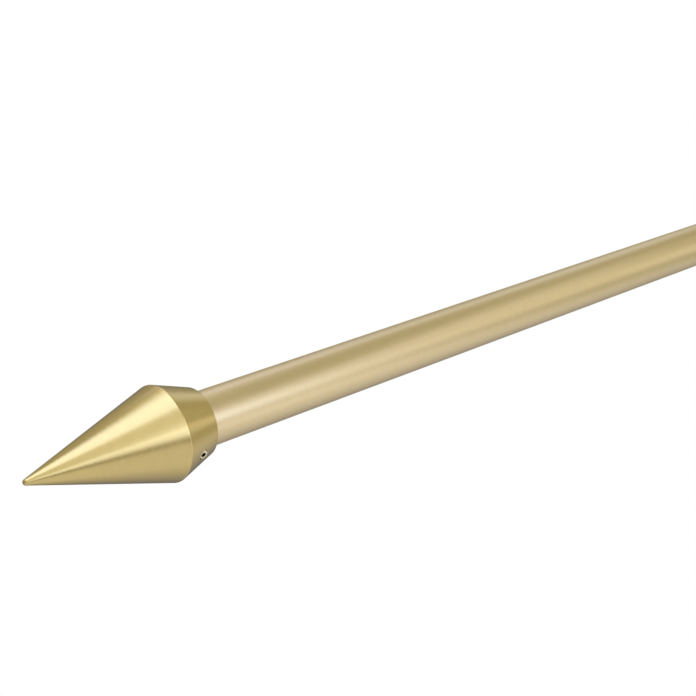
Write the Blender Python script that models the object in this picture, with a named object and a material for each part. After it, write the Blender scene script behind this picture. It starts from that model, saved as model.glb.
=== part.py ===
"""A curtain rod finial: a turned metal spear point, fixed by a set screw on the end of a tubular rod.

The rod's axis is the X axis. Its square-cut end lies in the plane x = 0, with the origin at the
middle of the tube, and the finial's tip points along -X. +Z is up when the rod hangs level.
"""

import math

import bmesh
import bpy
from mathutils import Vector

MM = 0.001

# Rod
ROD_DIAMETER = 25.4 * MM
ROD_WALL = 0.8 * MM
ROD_REACH = 414.8 * MM  # from the finial's rim to the rod's cut end

# Finial, measured along the axis from its tip and out from the axis
CONE_LENGTH = 66.6 * MM  # tip to crest
TAPER_LENGTH = 18.6 * MM  # crest to rim
TAPER_RISE = 6.3 * MM  # how far the crest stands out beyond the rim
RIM_WALL = 2.7 * MM  # metal round the mouth of the socket
TIP_RADIUS = 1.4 * MM
CREST_RADIUS = 1.2 * MM  # rounding of the edge between cone and taper
RIM_RADIUS = 0.6 * MM  # rounding of the edge between taper and rim face

# Socket that the rod is pushed into
SOCKET_DEPTH = 28.0 * MM
SOCKET_CLEARANCE = 0.3 * MM
SOCKET_CHAMFER = 0.4 * MM

# Set screw, square to the rod
SCREW_DIAMETER = 4.0 * MM
SCREW_FROM_RIM = 9.8 * MM
SCREW_TURN = math.radians(110.4)  # from straight up towards -Y
SCREW_CLEARANCE = 0.15 * MM
SCREW_RECESS = 0.3 * MM  # how far the middle of its face lies under the taper
SCREW_CHAMFER = 0.3 * MM
CUP_DIAMETER = 2.2 * MM
CUP_DEPTH = 0.5 * MM
KEY_WIDTH = 2.0 * MM  # across the flats of the hexagon socket
KEY_DEPTH = 2.2 * MM

TOUCH_GAP = 0.3 * MM  # between faces that bear on each other

# How finely round shapes are cut
TURN_STEPS = 96
SCREW_STEPS = 32
ARC_STEPS = 6
SHARP_EDGE = math.radians(30)
WELD = 0.001 * MM

# Places and sizes that follow from those above
ROD_RADIUS = ROD_DIAMETER / 2
SOCKET_RADIUS = ROD_RADIUS + SOCKET_CLEARANCE
RIM_OUTER_RADIUS = SOCKET_RADIUS + RIM_WALL
CREST_OUTER_RADIUS = RIM_OUTER_RADIUS + TAPER_RISE
FINIAL_LENGTH = CONE_LENGTH + TAPER_LENGTH
RIM_X = -ROD_REACH
TIP_X = RIM_X - FINIAL_LENGTH
SOCKET_END_X = RIM_X - SOCKET_DEPTH
SCREW_X = RIM_X - SCREW_FROM_RIM
SCREW_FOOT = ROD_RADIUS + TOUCH_GAP  # distance of the screw's inner end from the rod's axis

GOLD = (0.70, 0.58, 0.33)
CHAMPAGNE = (0.74, 0.64, 0.44)
NICKEL = (0.72, 0.70, 0.66)


def clear_scene():
    """Removes whatever the scene starts with."""
    for obj in list(bpy.data.objects):
        bpy.data.objects.remove(obj, do_unlink=True)


def metal(name, colour, roughness):
    """A metal with its own colour and roughness."""
    material = bpy.data.materials.new(name)
    material.use_nodes = True
    shader = material.node_tree.nodes["Principled BSDF"]
    shader.inputs["Base Color"].default_value = (*colour, 1.0)
    shader.inputs["Roughness"].default_value = roughness
    shader.inputs["Metallic"].default_value = 1.0
    return material


def add_object(name, bm, material):
    """Turns a bmesh into a smooth-shaded object with one material."""
    bmesh.ops.remove_doubles(bm, verts=bm.verts, dist=WELD)
    bmesh.ops.recalc_face_normals(bm, faces=bm.faces)
    mesh = bpy.data.meshes.new(name)
    bm.to_mesh(mesh)
    bm.free()
    mesh.materials.append(material)
    mesh.shade_smooth()
    mesh.set_sharp_from_angle(angle=SHARP_EDGE)
    obj = bpy.data.objects.new(name, mesh)
    bpy.context.scene.collection.objects.link(obj)
    return obj


def turned(name, profile, axis, steps, material, ring=False):
    """Spins a profile of (place along the axis, radius) points about one axis through the origin.

    A profile that starts and ends on the axis closes by itself. One that goes round a hollow, such
    as a tube's wall, is a ring and is joined from its last point to its first.
    """
    along = Vector(axis)
    out = along.orthogonal().normalized()
    bm = bmesh.new()
    points = [bm.verts.new(along * place + out * radius) for place, radius in profile]
    pairs = list(zip(points, points[1:]))
    if ring:
        pairs.append((points[-1], points[0]))
    edges = [bm.edges.new(pair) for pair in pairs]
    bmesh.ops.spin(
        bm, geom=points + edges, cent=(0, 0, 0), axis=along, angle=math.tau, steps=steps
    )
    return add_object(name, bm, material)


def skin_radius(from_rim):
    """Radius of the finial's outside at a distance from its rim."""
    on_taper = RIM_OUTER_RADIUS + TAPER_RISE * from_rim / TAPER_LENGTH
    on_cone = CREST_OUTER_RADIUS * (FINIAL_LENGTH - from_rim) / CONE_LENGTH
    return min(on_taper, on_cone)


def rounded_corner(before, corner, after, radius):
    """Points of an arc that rounds one corner of a profile, from its first edge to its second."""
    before, corner, after = Vector(before), Vector(corner), Vector(after)
    to_before = (before - corner).normalized()
    to_after = (after - corner).normalized()
    half_angle = to_before.angle(to_after) / 2
    centre = corner + (to_before + to_after).normalized() * radius / math.sin(half_angle)
    reach = radius / math.tan(half_angle)
    first = corner + to_before * reach - centre
    last = corner + to_after * reach - centre
    turn = first.angle_signed(last)
    arc = []
    for step in range(ARC_STEPS + 1):
        angle = math.atan2(first.y, first.x) - turn * step / ARC_STEPS
        arc.append((centre.x + radius * math.cos(angle), centre.y + radius * math.sin(angle)))
    return arc


def tip_arc(crest):
    """Points of the ball end, from the axis to where the cone leaves it, as a tangent to the crest."""
    centre = Vector((TIP_X + TIP_RADIUS, 0))
    to_crest = Vector(crest) - centre
    slope = math.atan2(to_crest.y, to_crest.x) - math.asin(TIP_RADIUS / to_crest.length)
    sweep = math.pi / 2 - slope
    arc = []
    for step in range(ARC_STEPS + 1):
        angle = sweep * step / ARC_STEPS
        arc.append((centre.x - TIP_RADIUS * math.cos(angle), TIP_RADIUS * math.sin(angle)))
    return arc


def finial_profile():
    """The finial's outline from its tip, over crest and rim, and down into the socket."""
    crest = (RIM_X - TAPER_LENGTH, CREST_OUTER_RADIUS)
    rim = (RIM_X, RIM_OUTER_RADIUS)
    rim_inner = (RIM_X, SOCKET_RADIUS + SOCKET_CHAMFER)
    tip = tip_arc(crest)
    return [
        *tip,
        *rounded_corner(tip[-1], crest, rim, CREST_RADIUS),
        *rounded_corner(crest, rim, rim_inner, RIM_RADIUS),
        rim_inner,
        (RIM_X - SOCKET_CHAMFER, SOCKET_RADIUS),
        (SOCKET_END_X, SOCKET_RADIUS),
        (SOCKET_END_X, 0),
    ]


def make_rod(material):
    """The tube, from just short of the socket's end to its square-cut end at the origin."""
    inner_end = SOCKET_END_X + TOUCH_GAP
    bore_radius = ROD_RADIUS - ROD_WALL
    wall = [(inner_end, bore_radius), (inner_end, ROD_RADIUS), (0, ROD_RADIUS), (0, bore_radius)]
    return turned("rod", wall, (1, 0, 0), TURN_STEPS, material, ring=True)


def screw_seat():
    """An empty on the rod's axis whose own Z axis is the screw's."""
    seat = bpy.data.objects.new("screw_seat", None)
    seat.location = (SCREW_X, 0, 0)
    seat.rotation_euler = (SCREW_TURN, 0, 0)
    bpy.context.scene.collection.objects.link(seat)
    return seat


def prism(name, radius, low, high, sides, material):
    """A straight prism on the Z axis from one height to another."""
    section = [(low, 0), (low, radius), (high, radius), (high, 0)]
    return turned(name, section, (0, 0, 1), sides, material)


def cut(obj, cutter):
    """Takes the cutter's shape out of the object and keeps the cutter as a hidden helper."""
    cutter.hide_render = True
    cutter.display_type = "WIRE"
    modifier = obj.modifiers.new("cut_" + cutter.name, "BOOLEAN")
    modifier.operation = "DIFFERENCE"
    modifier.solver = "EXACT"
    modifier.object = cutter


def make_finial(seat, material):
    """The turned body, drilled square to the rod for the set screw."""
    finial = turned("finial", finial_profile(), (1, 0, 0), TURN_STEPS, material)
    drill_radius = SCREW_DIAMETER / 2 + SCREW_CLEARANCE
    drill = prism("screw_hole", drill_radius, 0, CREST_OUTER_RADIUS, SCREW_STEPS, material)
    drill.parent = seat
    cut(finial, drill)
    return finial


def make_set_screw(seat, material):
    """A headless screw with a cup at its foot and a hexagon socket in its face."""
    radius = SCREW_DIAMETER / 2
    top = skin_radius(SCREW_FROM_RIM) - SCREW_RECESS
    profile = [
        (SCREW_FOOT + CUP_DEPTH, 0),
        (SCREW_FOOT, CUP_DIAMETER / 2),
        (SCREW_FOOT, radius - SCREW_CHAMFER),
        (SCREW_FOOT + SCREW_CHAMFER, radius),
        (top - SCREW_CHAMFER, radius),
        (top, radius - SCREW_CHAMFER),
        (top, 0),
    ]
    screw = turned("set_screw", profile, (0, 0, 1), SCREW_STEPS, material)
    corner_radius = KEY_WIDTH / math.sqrt(3)
    key = prism("key_socket", corner_radius, top - KEY_DEPTH, top + KEY_DEPTH, 6, material)
    for piece in (screw, key):
        piece.parent = seat
    cut(screw, key)
    return screw


def main():
    """Builds the rod, the finial on its end and the screw that holds them together."""
    clear_scene()
    gold = metal("satin_gold", GOLD, 0.32)
    champagne = metal("satin_champagne", CHAMPAGNE, 0.36)
    nickel = metal("bright_nickel", NICKEL, 0.2)
    seat = screw_seat()
    make_rod(champagne)
    make_finial(seat, gold)
    make_set_screw(seat, nickel)


main()
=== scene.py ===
"""The looks of a curtain rod finial: a satin gold spear point on a champagne rod, held by a set screw.

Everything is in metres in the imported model's frame: the rod's axis is the X axis, its square-cut
end lies at x = 0, the finial's tip points along -X, and +Z is up. Angles round the rod start
straight up and grow towards -Y, the side that the camera is on.
"""

import logging
import math
from dataclasses import dataclass
from enum import Enum
from typing import Any

import bmesh
import bpy
from mathutils import Matrix, Vector


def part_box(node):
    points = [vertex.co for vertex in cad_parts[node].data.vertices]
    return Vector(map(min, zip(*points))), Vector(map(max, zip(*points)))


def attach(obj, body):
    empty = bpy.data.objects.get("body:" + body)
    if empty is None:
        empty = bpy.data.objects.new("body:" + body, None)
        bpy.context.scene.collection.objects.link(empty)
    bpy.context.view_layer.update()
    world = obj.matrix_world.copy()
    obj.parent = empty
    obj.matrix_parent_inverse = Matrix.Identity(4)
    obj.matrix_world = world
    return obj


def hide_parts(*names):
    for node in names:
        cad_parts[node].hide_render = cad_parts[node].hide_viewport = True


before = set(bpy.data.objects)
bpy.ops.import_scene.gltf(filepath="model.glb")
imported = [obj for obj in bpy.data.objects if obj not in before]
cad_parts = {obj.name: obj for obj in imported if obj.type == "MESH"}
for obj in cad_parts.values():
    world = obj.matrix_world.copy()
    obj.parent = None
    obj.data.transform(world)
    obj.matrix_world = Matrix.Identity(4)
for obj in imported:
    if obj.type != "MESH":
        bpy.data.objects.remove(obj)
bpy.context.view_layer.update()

MM = 0.001
BODY = "root"
PHOTO_SENSOR = 36.0  # mm, the width that the camera's lens is given for

FINIAL_LOW, FINIAL_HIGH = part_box("finial")
ROD_LOW, ROD_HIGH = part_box("rod")
TIP = Vector((FINIAL_LOW.x, 0, 0))
RIM_X = FINIAL_HIGH.x
ROD_RADIUS = ROD_HIGH.z
ALONG_ROD = Matrix.Rotation(math.pi / 2, 4, "Y")  # takes the Z axis, which shapes are turned on, to X
SHARP_EDGE = math.radians(32)
LONG_STRAIGHT = 8  # a straight longer than this many times the rows' reach gets extra rows
PAST = 1 * MM  # how far a cutter reaches past what it cuts
SAME = 0.01 * MM  # heights that differ by less count as the same

LIT_PLACE = 60 * MM  # distance from the tip of the place on the axis that the softboxes face
SOFTBOX_DISTANCE = 1.2

WHITE = (1.0, 1.0, 1.0, 1.0)
NOISE_SPAN = (0.3, 0.7)  # the values between which most of a noise pattern lies
FULL_SPAN = (0.0, 1.0)

Colour = tuple[float, float, float]
Point = tuple[float, float]
Ring = list[Vector]

log = logging.getLogger("finial")


class Slot(Enum):
    """The record's material slots."""

    GOLD = "satin_gold"
    CHAMPAGNE = "satin_champagne"
    NICKEL = "bright_nickel"


class Grain(Enum):
    """What a noise pattern is laid out by."""

    TURNED = "rings round the rod"
    EVEN = "the same in every direction"


# Shapes


def rounded(before: Point, corner: Point, after: Point, radius: float, steps: int) -> list[Point]:
    """Rounds one corner of an outline.

    Args:
        before: A point on the edge that comes into the corner.
        corner: The corner itself.
        after: A point on the edge that leaves it.
        radius: Radius of the rounding.
        steps: Number of straight steps in the arc.

    Returns:
        The arc's points, from the first edge to the second.
    """
    middle = Vector(corner)
    to_before = (Vector(before) - middle).normalized()
    to_after = (Vector(after) - middle).normalized()
    half_angle = to_before.angle(to_after) / 2
    centre = middle + (to_before + to_after).normalized() * radius / math.sin(half_angle)
    reach = radius / math.tan(half_angle)
    first = middle + to_before * reach - centre
    last = middle + to_after * reach - centre
    turn = first.angle_signed(last)
    start = math.atan2(first.y, first.x)
    angles = [start - turn * step / steps for step in range(steps + 1)]
    return [(centre.x + radius * math.cos(a), centre.y + radius * math.sin(a)) for a in angles]


def edge_rows(outline: list[Point], reach: float) -> list[Point]:
    """Adds a point near each end of an outline's long straights, so that they shade as flat.

    Args:
        outline: Points of the outline.
        reach: Distance of the added points from the straight's ends.

    Returns:
        The outline with the added points.
    """
    rows = [outline[0]]
    for start, end in zip(outline, outline[1:]):
        run = Vector(end) - Vector(start)
        if run.length > LONG_STRAIGHT * reach:
            step = run.normalized() * reach
            rows.append(tuple(Vector(start) + step))
            rows.append(tuple(Vector(end) - step))
        rows.append(end)
    return rows


def turn(outline: list[Point], steps: int) -> list[Ring]:
    """Turns an outline on the Z axis.

    Args:
        outline: Points of (height, radius), none of them on the axis.
        steps: Number of points in each ring.

    Returns:
        One ring for each point of the outline.
    """
    angles = [math.tau * step / steps for step in range(steps)]
    return [
        [Vector((radius * math.cos(a), radius * math.sin(a), height)) for a in angles]
        for height, radius in outline
    ]


def skin(rings: list[Ring], caps: tuple[Vector, Vector] | None = None) -> bmesh.types.BMesh:
    """Lays a skin over a row of rings.

    Args:
        rings: Rings with the same number of points.
        caps: Middle points that close the first and last ring. Without them the last ring is
            joined to the first, as in the wall of a tube.

    Returns:
        A closed mesh whose faces point outwards.
    """
    bm = bmesh.new()
    loops = [[bm.verts.new(point) for point in ring] for ring in rings]
    pairs = list(zip(loops, loops[1:]))
    if caps is None:
        pairs.append((loops[-1], loops[0]))
    for lower, upper in pairs:
        for k in range(len(lower)):
            bm.faces.new((lower[k - 1], lower[k], upper[k], upper[k - 1]))
    for loop, cap in zip((loops[0], loops[-1]), caps or ()):
        middle = bm.verts.new(cap)
        for k in range(len(loop)):
            bm.faces.new((loop[k - 1], loop[k], middle))
    bmesh.ops.recalc_face_normals(bm, faces=bm.faces)
    return bm


def add_piece(name: str, bm: bmesh.types.BMesh, place: Matrix) -> bpy.types.Object:
    """Turns a mesh into an object of the scene.

    Args:
        name: The object's name.
        bm: Its mesh, which is used up.
        place: Where the mesh's own frame lies in the scene.

    Returns:
        The object.
    """
    mesh = bpy.data.meshes.new(name)
    bm.to_mesh(mesh)
    bm.free()
    piece = bpy.data.objects.new(name, mesh)
    piece.matrix_world = place
    bpy.context.scene.collection.objects.link(piece)
    return piece


def carve(piece: bpy.types.Object, cutters: list[bpy.types.Object]) -> None:
    """Takes the shapes of cutters out of a piece for good, and deletes them.

    Args:
        piece: The object that is cut.
        cutters: Closed shapes to take away, in this order.
    """
    for cutter in cutters:
        modifier = piece.modifiers.new(cutter.name, "BOOLEAN")
        modifier.operation = "DIFFERENCE"
        modifier.solver = "EXACT"
        modifier.object = cutter
    bpy.context.view_layer.update()
    depsgraph = bpy.context.evaluated_depsgraph_get()
    carved = bpy.data.meshes.new_from_object(piece.evaluated_get(depsgraph))
    piece.modifiers.clear()
    piece.data = carved
    for cutter in cutters:
        bpy.data.objects.remove(cutter)


def hand_over(piece: bpy.types.Object, node: str) -> None:
    """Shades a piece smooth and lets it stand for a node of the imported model.

    Args:
        piece: The finished object.
        node: The node that it replaces.
    """
    piece.data.shade_smooth()
    piece.data.set_sharp_from_angle(angle=SHARP_EDGE)
    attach(piece, BODY)
    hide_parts(node)


# Finishes


class NodeSheet:
    """A material's nodes, with short calls for those that the finishes share."""

    def __init__(self, name: str) -> None:
        """Starts from a new material with its Principled shader.

        Args:
            name: The material's name.
        """
        self.material = bpy.data.materials.new(name)
        self.material.use_nodes = True
        self.nodes = self.material.node_tree.nodes
        self.shader = self.nodes["Principled BSDF"]

    def add(self, kind: str, inputs: dict[Any, Any], **settings: Any) -> bpy.types.Node:
        """Adds one node.

        Args:
            kind: The node's type name.
            inputs: A socket to link or a plain value for each input, by its name or number.
            **settings: Properties of the node itself.

        Returns:
            The node.
        """
        node = self.nodes.new(kind)
        for name, value in settings.items():
            setattr(node, name, value)
        for key, value in inputs.items():
            self.feed(node.inputs[key], value)
        return node

    def feed(self, socket: bpy.types.NodeSocket, value: Any) -> None:
        """Links another node's socket to an input, or sets the input to a plain value.

        Args:
            socket: The input.
            value: The other node's socket, or a number, colour or vector.
        """
        if isinstance(value, bpy.types.NodeSocket):
            self.material.node_tree.links.new(value, socket)
        else:
            socket.default_value = value

    def maths(self, operation: str, first: Any, second: Any) -> bpy.types.NodeSocket:
        """Adds a Math node on two numbers or sockets and returns its result."""
        return self.add("ShaderNodeMath", {0: first, 1: second}, operation=operation).outputs[0]

    def remap(self, value: Any, source: Point, target: Point) -> bpy.types.NodeSocket:
        """Maps a value from one range to another, held at the ends.

        Args:
            value: The socket to map.
            source: Lowest and highest value that comes in.
            target: What these two become.

        Returns:
            The mapped value.
        """
        ranges = {0: value, 1: source[0], 2: source[1], 3: target[0], 4: target[1]}
        return self.add("ShaderNodeMapRange", ranges).outputs[0]

    def grain(
        self, layout: Grain, size: float, detail: float, arc: float = 1.0
    ) -> bpy.types.NodeSocket:
        """Adds a noise pattern.

        Args:
            layout: Whether it lies in rings round the rod or is even.
            size: Size of its features in metres, across the rings if it has any.
            detail: Number of finer layers.
            arc: Length of a ring's features, as a share of the ring's radius.

        Returns:
            The pattern's value, mostly within NOISE_SPAN.
        """
        place = self.add("ShaderNodeTexCoord", {}).outputs["Object"]
        if layout is Grain.EVEN:
            inputs = {"Vector": place, "Scale": 1 / size, "Detail": detail}
            return self.add("ShaderNodeTexNoise", inputs).outputs[0]
        parts = self.add("ShaderNodeSeparateXYZ", {0: place}).outputs
        across = self.add("ShaderNodeCombineXYZ", {1: parts[1], 2: parts[2]}).outputs[0]
        outward = self.add("ShaderNodeVectorMath", {0: across}, operation="NORMALIZE").outputs[0]
        outward_parts = self.add("ShaderNodeSeparateXYZ", {0: outward}).outputs
        rings = {
            0: self.maths("DIVIDE", parts[0], size),
            1: self.maths("DIVIDE", outward_parts[1], arc),
            2: self.maths("DIVIDE", outward_parts[2], arc),
        }
        vector = self.add("ShaderNodeCombineXYZ", rings).outputs[0]
        inputs = {"Vector": vector, "Scale": 1.0, "Detail": detail}
        return self.add("ShaderNodeTexNoise", inputs).outputs[0]

    def tint(self, value: Any, low: Colour, high: Colour) -> bpy.types.NodeSocket:
        """Mixes two colours by a value from 0 to 1 and returns the result."""
        inputs = {0: value, 6: (*low, 1.0), 7: (*high, 1.0)}
        return self.add("ShaderNodeMix", inputs, data_type="RGBA").outputs[2]

    def relief(self, height: Any, depth: float, under: Any = None) -> bpy.types.NodeSocket:
        """Adds a bump from a height pattern.

        Args:
            height: The pattern, from 0 to 1.
            depth: Height in metres that 1 stands for.
            under: The normal of the relief that this one lies on.

        Returns:
            The bumped normal.
        """
        inputs = {"Height": height, "Distance": depth, "Strength": 1.0}
        if under is not None:
            inputs["Normal"] = under
        return self.add("ShaderNodeBump", inputs).outputs[0]


@dataclass(frozen=True)
class TurnedMetal:
    """Plated metal with a satin finish of fine rings, from a lathe or a polishing belt."""

    slot: Slot
    colour: Colour
    deep_colour: Colour
    roughness: float
    roughness_spread: float
    anisotropy: float
    line_width: float
    line_depth: float
    band_width: float
    band_depth: float
    edge_tint: Colour  # how much is left of its reflection near grazing angles
    line_detail: float = 3.0
    band_detail: float = 2.0
    line_arc: float = 0.35
    band_arc: float = 0.3
    grain_size: float = 0.35 * MM
    grain_detail: float = 2.0
    grain_share: float = 0.5  # how much the grain counts in the tone, beside the rings
    tone_span: Point = (0.55, 0.95)  # rings and grain together, from deep to full colour

    def material(self) -> bpy.types.Material:
        """Builds the material.

        Returns:
            A metal with turned lines, wider polishing bands and a faint grain.
        """
        sheet = NodeSheet(self.slot.value)
        lines = sheet.grain(Grain.TURNED, self.line_width, self.line_detail, self.line_arc)
        bands = sheet.grain(Grain.TURNED, self.band_width, self.band_detail, self.band_arc)
        grain = sheet.grain(Grain.EVEN, self.grain_size, self.grain_detail)
        rings = sheet.maths("MULTIPLY", sheet.maths("ADD", lines, bands), 0.5)
        both = sheet.maths("ADD", rings, sheet.maths("MULTIPLY", grain, self.grain_share))
        tone = sheet.remap(both, self.tone_span, FULL_SPAN)
        spread = (self.roughness - self.roughness_spread, self.roughness + self.roughness_spread)
        relief = sheet.relief(lines, self.line_depth, sheet.relief(bands, self.band_depth))
        tangent = sheet.add("ShaderNodeTangent", {}, direction_type="RADIAL", axis="X").outputs[0]
        inputs = sheet.shader.inputs
        sheet.feed(inputs["Base Color"], sheet.tint(tone, self.deep_colour, self.colour))
        sheet.feed(inputs["Roughness"], sheet.remap(rings, NOISE_SPAN, spread))
        sheet.feed(inputs["Normal"], relief)
        sheet.feed(inputs["Tangent"], tangent)
        inputs["Metallic"].default_value = 1.0
        inputs["Anisotropic"].default_value = self.anisotropy
        inputs["Specular Tint"].default_value = (*self.edge_tint, 1.0)
        return sheet.material


@dataclass(frozen=True)
class PlainMetal:
    """Metal with an even grain, for the screw, for the painted shade in its key socket and for the rod
    where it is bare.
    """

    name: str
    colour: Colour
    deep_colour: Colour
    roughness: float
    roughness_spread: float
    grain_size: float
    grain_depth: float
    grain_detail: float = 4.0
    cloud_size: float = 12.0  # of the wider clouds in its colour, in grains
    cloud_detail: float = 2.0
    tone_span: Point = (0.7, 1.3)  # grain and clouds together, from deep to full colour

    def material(self) -> bpy.types.Material:
        """Builds the material.

        Returns:
            A metal with an even grain.
        """
        sheet = NodeSheet(self.name)
        grain = sheet.grain(Grain.EVEN, self.grain_size, self.grain_detail)
        cloud = sheet.grain(Grain.EVEN, self.cloud_size * self.grain_size, self.cloud_detail)
        tone = sheet.remap(sheet.maths("ADD", grain, cloud), self.tone_span, FULL_SPAN)
        spread = (self.roughness - self.roughness_spread, self.roughness + self.roughness_spread)
        inputs = sheet.shader.inputs
        sheet.feed(inputs["Base Color"], sheet.tint(tone, self.deep_colour, self.colour))
        sheet.feed(inputs["Roughness"], sheet.remap(grain, NOISE_SPAN, spread))
        sheet.feed(inputs["Normal"], sheet.relief(grain, self.grain_depth))
        inputs["Metallic"].default_value = 1.0
        return sheet.material


# Pieces


@dataclass(frozen=True)
class ScrewSeat:
    """Where the set screw sits: its axis, the hole round it, and how far out its ends lie."""

    from_rim: float = 9.8 * MM
    angle: float = math.radians(110.4)  # from straight up towards -Y
    screw_radius: float = 2.0 * MM
    clearance: float = 0.3 * MM
    mouth_chamfer: float = 0.15 * MM
    foot: float = ROD_RADIUS + 0.3 * MM  # how far its inner end is from the rod's axis
    recess: float = 0.12 * MM  # of the middle of its outer end, under the taper

    def place(self) -> Matrix:
        """The frame on the rod's axis whose Z axis is the screw's."""
        return Matrix.Translation((RIM_X - self.from_rim, 0, 0)) @ Matrix.Rotation(self.angle, 4, "X")


@dataclass(frozen=True)
class SpearPoint:
    """The finial: a long cone and a short taper turned from one bar, with a socket for the rod."""

    finish: TurnedMetal
    seat: ScrewSeat
    taper_length: float = 18.6 * MM
    taper_rise: float = 6.3 * MM  # how far the crest stands out beyond the rim
    rim_wall: float = 2.7 * MM
    tip_radius: float = 1.4 * MM
    crest_rounding: float = 1.2 * MM
    rim_rounding: float = 0.6 * MM
    socket_radius: float = ROD_RADIUS + 0.3 * MM
    socket_depth: float = 28.0 * MM
    mouth_chamfer: float = 0.4 * MM
    row_reach: float = 0.25 * MM  # how far the extra rows are from the outline's corners
    steps: int = 256
    hole_steps: int = 96
    tip_steps: int = 16
    crest_steps: int = 12
    rim_steps: int = 8

    @property
    def rim_radius(self) -> float:
        """Outer radius of the rim."""
        return self.socket_radius + self.rim_wall

    @property
    def crest(self) -> Point:
        """Where cone and taper would meet if their edge were sharp."""
        return (RIM_X - self.taper_length, self.rim_radius + self.taper_rise)

    def tip_ball(self) -> list[Point]:
        """The rounded tip, without its point on the axis.

        Returns:
            Points from close to the axis to where the straight cone leaves the ball.
        """
        centre = Vector((TIP.x + self.tip_radius, 0))
        to_crest = Vector(self.crest) - centre
        slope = math.atan2(to_crest.y, to_crest.x) - math.asin(self.tip_radius / to_crest.length)
        sweep = math.pi / 2 - slope
        angles = [sweep * step / self.tip_steps for step in range(1, self.tip_steps + 1)]
        return [
            (centre.x - self.tip_radius * math.cos(a), self.tip_radius * math.sin(a)) for a in angles
        ]

    def outline(self) -> list[Point]:
        """The outline from tip to socket.

        Returns:
            Points over the crest and the rim and down to the socket's end.
        """
        rim = (RIM_X, self.rim_radius)
        mouth = (RIM_X, self.socket_radius + self.mouth_chamfer)
        tip = self.tip_ball()
        points = [
            *tip,
            *rounded(tip[-1], self.crest, rim, self.crest_rounding, self.crest_steps),
            *rounded(self.crest, rim, mouth, self.rim_rounding, self.rim_steps),
            mouth,
            (RIM_X - self.mouth_chamfer, self.socket_radius),
            (RIM_X - self.socket_depth, self.socket_radius),
        ]
        return edge_rows(points, self.row_reach)

    def skin_height(self, along: float, across: float) -> float:
        """Height of the taper's surface over the rod's axis, in the screw's own frame.

        Args:
            along: Offset from the screw's axis along the rod.
            across: Offset from it across the rod.

        Returns:
            The height, in the direction of the screw's axis.
        """
        slope = self.taper_rise / self.taper_length
        radius = self.rim_radius + slope * (self.seat.from_rim - along)
        return math.sqrt(radius**2 - across**2)

    def drill(self) -> bpy.types.Object:
        """Makes the shape of the screw's hole, with an even chamfer round its mouth.

        Returns:
            A closed shape that reaches from the rod's axis to outside the taper.
        """
        hole = self.seat.screw_radius + self.seat.clearance
        chamfer = self.seat.mouth_chamfer
        flared = hole + 2 * chamfer
        outside = Vector((0, 0, 2 * self.crest[1]))
        rings: list[Ring] = [[], [], [], []]
        for step in range(self.hole_steps):
            angle = math.tau * step / self.hole_steps
            outward = Vector((math.cos(angle), math.sin(angle), 0))
            narrow = outward * hole
            wide = outward * flared
            rings[0].append(narrow)
            rings[1].append(narrow + Vector((0, 0, self.skin_height(narrow.x, narrow.y) - chamfer)))
            rings[2].append(wide + Vector((0, 0, self.skin_height(wide.x, wide.y) + chamfer)))
            rings[3].append(wide + outside)
        return add_piece("drill", skin(rings, (Vector((0, 0, 0)), outside)), self.seat.place())

    def build(self) -> bpy.types.Object:
        """Makes the finial and dresses it.

        Returns:
            The finished piece.
        """
        outline = self.outline()
        ends = (Vector((0, 0, TIP.x)), Vector((0, 0, outline[-1][0])))
        bm = skin(turn(outline, self.steps), ends)
        bm.transform(ALONG_ROD)
        piece = add_piece("spear_point", bm, Matrix.Identity(4))
        carve(piece, [self.drill()])
        piece.data.materials.append(self.finish.material())
        hand_over(piece, "finial")
        return piece


@dataclass(frozen=True)
class RodTube:
    """The rod: a thin steel tube, plated outside, bare inside and where it is sawn off."""

    finish: TurnedMetal
    bare: PlainMetal
    wall: float = 0.8 * MM
    edge: float = 0.12 * MM  # broken edges of its two ends
    row_reach: float = 0.5 * MM  # how far the extra rows are from the outline's corners
    seam_width: float = 1.6 * MM  # weld bead inside the tube
    seam_height: float = 0.25 * MM
    steps: int = 256

    def build(self) -> bpy.types.Object:
        """Makes the tube with its weld seam, and dresses it.

        Returns:
            The finished piece.
        """
        outer = ROD_RADIUS
        bore = ROD_RADIUS - self.wall
        edge = self.edge
        outline = [
            (ROD_LOW.x + edge, bore),
            (ROD_LOW.x, bore + edge),
            (ROD_LOW.x, outer - edge),
            (ROD_LOW.x + edge, outer),
            (ROD_HIGH.x - edge, outer),
            (ROD_HIGH.x, outer - edge),
            (ROD_HIGH.x, bore + edge),
            (ROD_HIGH.x - edge, bore),
        ]
        bm = skin(turn(edge_rows(outline, self.row_reach), self.steps))
        for vertex in bm.verts:
            self.raise_seam(vertex, bore)
        bm.transform(ALONG_ROD)
        for face in bm.faces:
            middle = face.calc_center_median()
            face.material_index = 0 if math.hypot(middle.y, middle.z) > outer - edge else 1
        piece = add_piece("rod_tube", bm, Matrix.Identity(4))
        piece.data.materials.append(self.finish.material())
        piece.data.materials.append(self.bare.material())
        hand_over(piece, "rod")
        return piece

    def raise_seam(self, vertex: bmesh.types.BMVert, bore: float) -> None:
        """Moves a vertex of the bore inwards where the weld bead runs.

        Args:
            vertex: A vertex of the tube, still turned on the Z axis.
            bore: Radius of the bore.
        """
        radius = math.hypot(vertex.co.x, vertex.co.y)
        if radius > bore + self.edge / 2:
            return
        offset = abs(math.atan2(vertex.co.y, vertex.co.x)) * bore / (self.seam_width / 2)
        if offset < 1:
            inward = (radius - self.seam_height * math.cos(offset * math.pi / 2)) / radius
            vertex.co.x *= inward
            vertex.co.y *= inward


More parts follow.
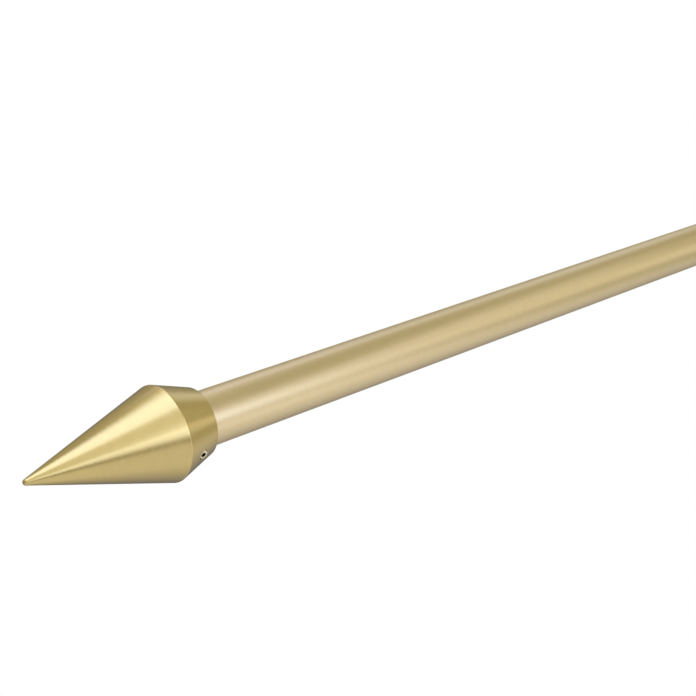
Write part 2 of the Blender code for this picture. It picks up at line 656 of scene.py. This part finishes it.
@dataclass(frozen=True)
class SetScrew:
    """The headless set screw: threaded, with a hexagon socket outside and a cup point inside."""

    finish: PlainMetal
    # near-black painted shade for the walls of the key socket
    key_shade: PlainMetal
    seat: ScrewSeat
    top: float  # how far its outer end is from the rod's axis
    pitch: float = 0.7 * MM
    thread_depth: float = 0.43 * MM
    crest_flat: float = 0.125  # share of the pitch, as the next one
    root_flat: float = 0.25
    chamfer: float = 0.2 * MM
    cup_radius: float = 1.1 * MM
    cup_depth: float = 0.5 * MM
    key_sides: int = 6
    key_width: float = 2.0 * MM  # across the flats
    key_depth: float = 2.2 * MM
    key_lead_in: float = 0.06 * MM
    key_point: float = 0.4 * MM  # how much deeper the socket is in its middle
    steps: int = 72
    rows_per_pitch: int = 16

    def radius_at(self, height: float, angle: float) -> float:
        """Radius of the thread at a place on the screw.

        Args:
            height: Distance from the rod's axis.
            angle: Angle round the screw.

        Returns:
            The radius there, inside the chamfers of both ends.
        """
        turned = (height / self.pitch - angle / math.tau) % 1.0
        off_root = abs(turned - 0.5) * 2
        crest_edge = 1 - self.crest_flat
        flank = min(max((crest_edge - off_root) / (crest_edge - self.root_flat), 0.0), 1.0)
        foot_chamfer = max(0.0, self.chamfer - (height - self.seat.foot))
        top_chamfer = max(0.0, self.chamfer - (self.top - height))
        cut = max(self.thread_depth * flank, foot_chamfer, top_chamfer)
        return self.seat.screw_radius - cut

    def shank(self) -> bmesh.types.BMesh:
        """Makes the threaded body.

        Returns:
            A closed mesh with the cup at its foot and a plain top.
        """
        length = self.top - self.seat.foot
        rows = math.ceil(length / self.pitch * self.rows_per_pitch)
        angles = [math.tau * step / self.steps for step in range(self.steps)]
        rings = turn([(self.seat.foot, self.cup_radius)], self.steps)
        for row in range(rows + 1):
            height = self.seat.foot + length * row / rows
            radii = [self.radius_at(height, a) for a in angles]
            rings.append(
                [Vector((r * math.cos(a), r * math.sin(a), height)) for r, a in zip(radii, angles)]
            )
        caps = (Vector((0, 0, self.seat.foot + self.cup_depth)), Vector((0, 0, self.top)))
        return skin(rings, caps)

    def cutter(self, name: str, outline: list[Point], sides: int) -> bpy.types.Object:
        """Makes a shape to cut out of the screw's top.

        Args:
            name: Name of the cutter.
            outline: Points of (height, radius), the first and last of them on the axis.
            sides: Number of sides.

        Returns:
            The closed shape.
        """
        caps = (Vector((0, 0, outline[0][0])), Vector((0, 0, outline[-1][0])))
        return add_piece(name, skin(turn(outline[1:-1], sides), caps), self.seat.place())

    def build(self) -> bpy.types.Object:
        """Makes the screw, with painted shade darkening its key socket, and dresses it.

        Returns:
            The finished piece.
        """
        piece = add_piece("grub_screw", self.shank(), self.seat.place())
        corner = self.key_width / 2 / math.cos(math.pi / self.key_sides)
        above = self.top + PAST
        floor = self.top - self.key_depth
        point = floor - self.key_point
        key = [(above, 0), (above, corner), (floor, corner), (point, 0)]
        wide = corner + self.key_lead_in
        lead_in = [(above, 0), (above, wide + PAST), (self.top - wide, 0)]
        cutters = [
            self.cutter("key", key, self.key_sides),
            self.cutter("lead_in", lead_in, self.steps),
        ]
        carve(piece, cutters)
        # Faces inside the key socket take the near-black painted shade; the rest stays nickel.
        for face in piece.data.polygons:
            x, y, height = face.center
            sunk = point < height < self.top - SAME
            face.material_index = 1 if sunk and math.hypot(x, y) < wide else 0
        piece.data.materials.append(self.finish.material())
        piece.data.materials.append(self.key_shade.material())
        hand_over(piece, "set_screw")
        return piece


# Studio


@dataclass(frozen=True)
class PhotoCamera:
    """The camera at the photograph's place, angle and lens."""

    from_tip: tuple[float, float, float] = (-210.1 * MM, -409.1 * MM, 227.5 * MM)
    heading: float = math.radians(43.397)  # from +Y towards +X
    dip: float = math.radians(21.085)
    lens: float = 64.70
    clip: Point = (10 * MM, 100.0)  # nearest and farthest that it sees

    def build(self) -> None:
        """Makes the camera and lets the scene use it."""
        data = bpy.data.cameras.new("photo_camera")
        data.sensor_width = PHOTO_SENSOR
        data.lens = self.lens
        data.clip_start = self.clip[0]
        data.clip_end = self.clip[1]
        camera = bpy.data.objects.new("photo_camera", data)
        camera.location = TIP + Vector(self.from_tip)
        camera.rotation_euler = (math.pi / 2 - self.dip, 0, -self.heading)
        bpy.context.scene.collection.objects.link(camera)
        bpy.context.scene.camera = camera
        log.info("camera: dip %.1f degrees, lens %.1f mm", math.degrees(self.dip), self.lens)


@dataclass(frozen=True)
class Softbox:
    """A soft rectangular lamp, given by the window that it fills as seen from the cone.

    Both of its ranges are in degrees: one round the rod, from straight up towards -Y, and one
    between the direction to the lamp and the rod's far end. Its brightness is that of its face,
    where 1 is white.
    """

    name: str
    round_rod: Point
    from_far_end: Point
    brightness: float
    tint: Colour

    def build(self) -> None:
        """Makes the lamp."""
        low, high = (math.radians(angle) for angle in self.round_rod)
        near, far = (math.radians(angle) for angle in self.from_far_end)
        turned = (low + high) / 2
        leaned = (near + far) / 2
        ahead = math.cos(leaned)
        aside = math.sin(leaned)
        outward = Vector((ahead, -aside * math.sin(turned), aside * math.cos(turned)))
        across = outward.cross(Vector((1, 0, 0))).normalized()
        along = across.cross(outward)
        data = bpy.data.lights.new(self.name, "AREA")
        data.shape = "RECTANGLE"
        data.size = 2 * SOFTBOX_DISTANCE * math.tan((far - near) / 2)
        data.size_y = 2 * SOFTBOX_DISTANCE * math.tan((high - low) / 2) * aside
        data.energy = self.brightness * math.pi * data.size * data.size_y
        data.color = self.tint
        lamp = bpy.data.objects.new(self.name, data)
        lamp.location = TIP + Vector((LIT_PLACE, 0, 0)) + outward * SOFTBOX_DISTANCE
        lamp.rotation_mode = "QUATERNION"
        lamp.rotation_quaternion = Matrix((along, across, outward)).transposed().to_quaternion()
        lamp.visible_camera = False
        bpy.context.scene.collection.objects.link(lamp)
        log.info("%s: %.2f x %.2f m", self.name, data.size, data.size_y)


@dataclass(frozen=True)
class Surroundings:
    """A pale, softly glowing floor far below the rod and a dim room, both white to the camera."""

    floor_drop: float = 0.6
    floor_radius: float = 5.0
    floor_steps: int = 96
    floor_glow: Colour = (0.93, 0.87, 0.71)
    far_glow: Colour = (0.58, 0.52, 0.31)  # warmer and dimmer, ahead of the rod's cut end
    far_reach: Point = (0.9, 2.4)  # where along the floor this starts and is complete
    shade: float = 0.3  # share of the glow that is left behind the rod
    shade_reach: Point = (-0.38, 0.38)  # where across the floor the glow starts to fade and ends
    room_colour: Colour = (0.58, 0.51, 0.29)
    horizon: float = 0.6  # share of the room's light that is left level with the rod
    horizon_reach: Point = (0.03, 0.12)  # how steep a direction is where this ends

    def white_to_camera(
        self, tree: bpy.types.NodeTree, seen: bpy.types.NodeSocket, white: bpy.types.Node
    ) -> None:
        """Lets a surface look white to the camera, whatever the object sees of it.

        Args:
            tree: The node tree of the floor's material or of the world.
            seen: The socket of the shader that the object sees.
            white: A new emission or background node in the tree.
        """
        white.inputs["Color"].default_value = WHITE
        white.inputs["Strength"].default_value = 1.0
        path = tree.nodes.new("ShaderNodeLightPath")
        mix = tree.nodes.new("ShaderNodeMixShader")
        output = tree.get_output_node("ALL")
        tree.links.new(path.outputs["Is Camera Ray"], mix.inputs[0])
        tree.links.new(seen, mix.inputs[1])
        tree.links.new(white.outputs[0], mix.inputs[2])
        tree.links.new(mix.outputs[0], output.inputs["Surface"])

    def floor_material(self) -> bpy.types.Material:
        """Builds the floor's material.

        Returns:
            A pale glow on the camera's side that fades behind the rod and warms ahead of it.
        """
        sheet = NodeSheet("pale_floor")
        sheet.nodes.remove(sheet.shader)
        place = sheet.add("ShaderNodeTexCoord", {}).outputs["Object"]
        along, across, _ = sheet.add("ShaderNodeSeparateXYZ", {0: place}).outputs
        ahead = sheet.remap(along, self.far_reach, FULL_SPAN)
        colour = sheet.tint(ahead, self.floor_glow, self.far_glow)
        strength = sheet.remap(across, self.shade_reach, (1.0, self.shade))
        glow = {"Color": colour, "Strength": strength}
        seen = sheet.add("ShaderNodeEmission", glow).outputs[0]
        tree = sheet.material.node_tree
        self.white_to_camera(tree, seen, sheet.add("ShaderNodeEmission", {}))
        return sheet.material

    def room_strength(self, tree: bpy.types.NodeTree) -> bpy.types.NodeSocket:
        """Adds the nodes that darken the room towards the horizon.

        Args:
            tree: The world's node tree.

        Returns:
            The strength in each direction.
        """
        direction = tree.nodes.new("ShaderNodeTexCoord")
        parts = tree.nodes.new("ShaderNodeSeparateXYZ")
        steep = tree.nodes.new("ShaderNodeMath")
        steep.operation = "ABSOLUTE"
        strength = tree.nodes.new("ShaderNodeMapRange")
        for name, value in zip(("From Min", "From Max"), self.horizon_reach):
            strength.inputs[name].default_value = value
        strength.inputs["To Min"].default_value = self.horizon
        tree.links.new(direction.outputs["Generated"], parts.inputs[0])
        tree.links.new(parts.outputs[2], steep.inputs[0])
        tree.links.new(steep.outputs[0], strength.inputs["Value"])
        return strength.outputs[0]

    def build(self) -> None:
        """Makes the floor and the room."""
        bm = bmesh.new()
        bmesh.ops.create_circle(bm, cap_ends=True, segments=self.floor_steps, radius=self.floor_radius)
        place = Matrix.Translation((TIP.x + LIT_PLACE, 0, -self.floor_drop))
        floor = add_piece("floor", bm, place)
        floor.data.materials.append(self.floor_material())
        world = bpy.data.worlds.new("room")
        world.use_nodes = True
        tree = world.node_tree
        room = tree.nodes["Background"]
        room.inputs["Color"].default_value = (*self.room_colour, 1.0)
        tree.links.new(self.room_strength(tree), room.inputs["Strength"])
        self.white_to_camera(tree, room.outputs[0], tree.nodes.new("ShaderNodeBackground"))
        bpy.context.scene.world = world
        bpy.context.scene.view_settings.view_transform = "Standard"
        log.info("floor %.1f m below the rod", self.floor_drop)


GOLD = TurnedMetal(
    slot=Slot.GOLD,
    colour=(0.61, 0.508, 0.271),
    deep_colour=(0.57, 0.472, 0.246),
    roughness=0.25,
    roughness_spread=0.02,
    anisotropy=0.1,
    line_width=0.12 * MM,
    line_depth=0.0015 * MM,
    band_width=1.2 * MM,
    band_depth=0.0025 * MM,
    edge_tint=(0.74, 0.79, 1.0),
)
CHAMPAGNE = TurnedMetal(
    slot=Slot.CHAMPAGNE,
    colour=(0.69, 0.597, 0.434),
    deep_colour=(0.65, 0.557, 0.398),
    roughness=0.36,
    roughness_spread=0.03,
    anisotropy=0.3,
    line_width=0.2 * MM,
    line_depth=0.0025 * MM,
    band_width=1.8 * MM,
    band_depth=0.006 * MM,
    edge_tint=(0.86, 0.89, 1.0),
)
BARE_STEEL = PlainMetal(
    name="bare_steel",
    colour=(0.46, 0.45, 0.43),
    deep_colour=(0.34, 0.33, 0.31),
    roughness=0.42,
    roughness_spread=0.08,
    grain_size=0.3 * MM,
    grain_depth=0.004 * MM,
)
NICKEL = PlainMetal(
    name="bright_nickel",
    colour=(0.95, 0.92, 0.84),
    deep_colour=(0.88, 0.85, 0.77),
    roughness=0.24,
    roughness_spread=0.05,
    grain_size=0.15 * MM,
    grain_depth=0.001 * MM,
)
# Painted shade: a near-black metal for the walls of the screw's key socket, standing in for the shade
# in that recess.
SOCKET_SHADE_METAL = PlainMetal(
    name="painted_socket_shade",
    colour=(0.05, 0.045, 0.04),
    deep_colour=(0.03, 0.027, 0.023),
    roughness=0.5,
    roughness_spread=0.08,
    grain_size=0.2 * MM,
    grain_depth=0.004 * MM,
)

SOFTBOXES = (
    Softbox("ceiling", (-20, 70), (78, 108), 0.57, (0.96, 1.0, 0.96)),
    Softbox("overhead", (-30, 20), (78, 108), 0.90, (0.88, 1.0, 1.50)),
    Softbox("overhead_back", (-40, 0), (64, 82), 0.92, (0.96, 1.0, 0.74)),
    Softbox("front", (50, 87), (50, 92), 0.66, (0.94, 1.0, 1.28)),
    Softbox("front_low", (88, 125), (42, 66), 0.40, (1.04, 1.0, 1.0)),
    Softbox("front_far", (57, 92), (24, 50), 0.42, (1.05, 1.0, 0.75)),
    Softbox("front_end", (60, 100), (12, 24), 0.62, (1.05, 1.0, 0.90)),
    Softbox("key", (64, 82), (52, 108), 0.97, (0.91, 1.0, 1.22)),
    Softbox("back", (-60, -32), (45, 78), 0.52, (0.98, 1.0, 1.40)),
    Softbox("back_far", (-60, -30), (22, 45), 0.50, (0.91, 1.0, 1.16)),
    Softbox("far_strip", (40, 50), (30, 54), 0.70, (1.05, 1.0, 1.03)),
    Softbox("far_fill", (12, 40), (26, 42), 0.30, (0.97, 1.0, 0.90)),
)


def main() -> None:
    """Builds the studio and every piece of the finial, and reports each."""
    logging.basicConfig(level=logging.INFO, format="%(message)s")
    PhotoCamera().build()
    Surroundings().build()
    for softbox in SOFTBOXES:
        softbox.build()
    seat = ScrewSeat()
    finial = SpearPoint(GOLD, seat)
    screw_top = finial.skin_height(0, 0) - seat.recess
    screw = SetScrew(NICKEL, SOCKET_SHADE_METAL, seat, screw_top)
    for part in (finial, RodTube(CHAMPAGNE, BARE_STEEL), screw):
        piece = part.build()
        piece.data.calc_loop_triangles()
        log.info("%s: %d triangles", piece.name, len(piece.data.loop_triangles))


if __name__ == "__main__":
    main()
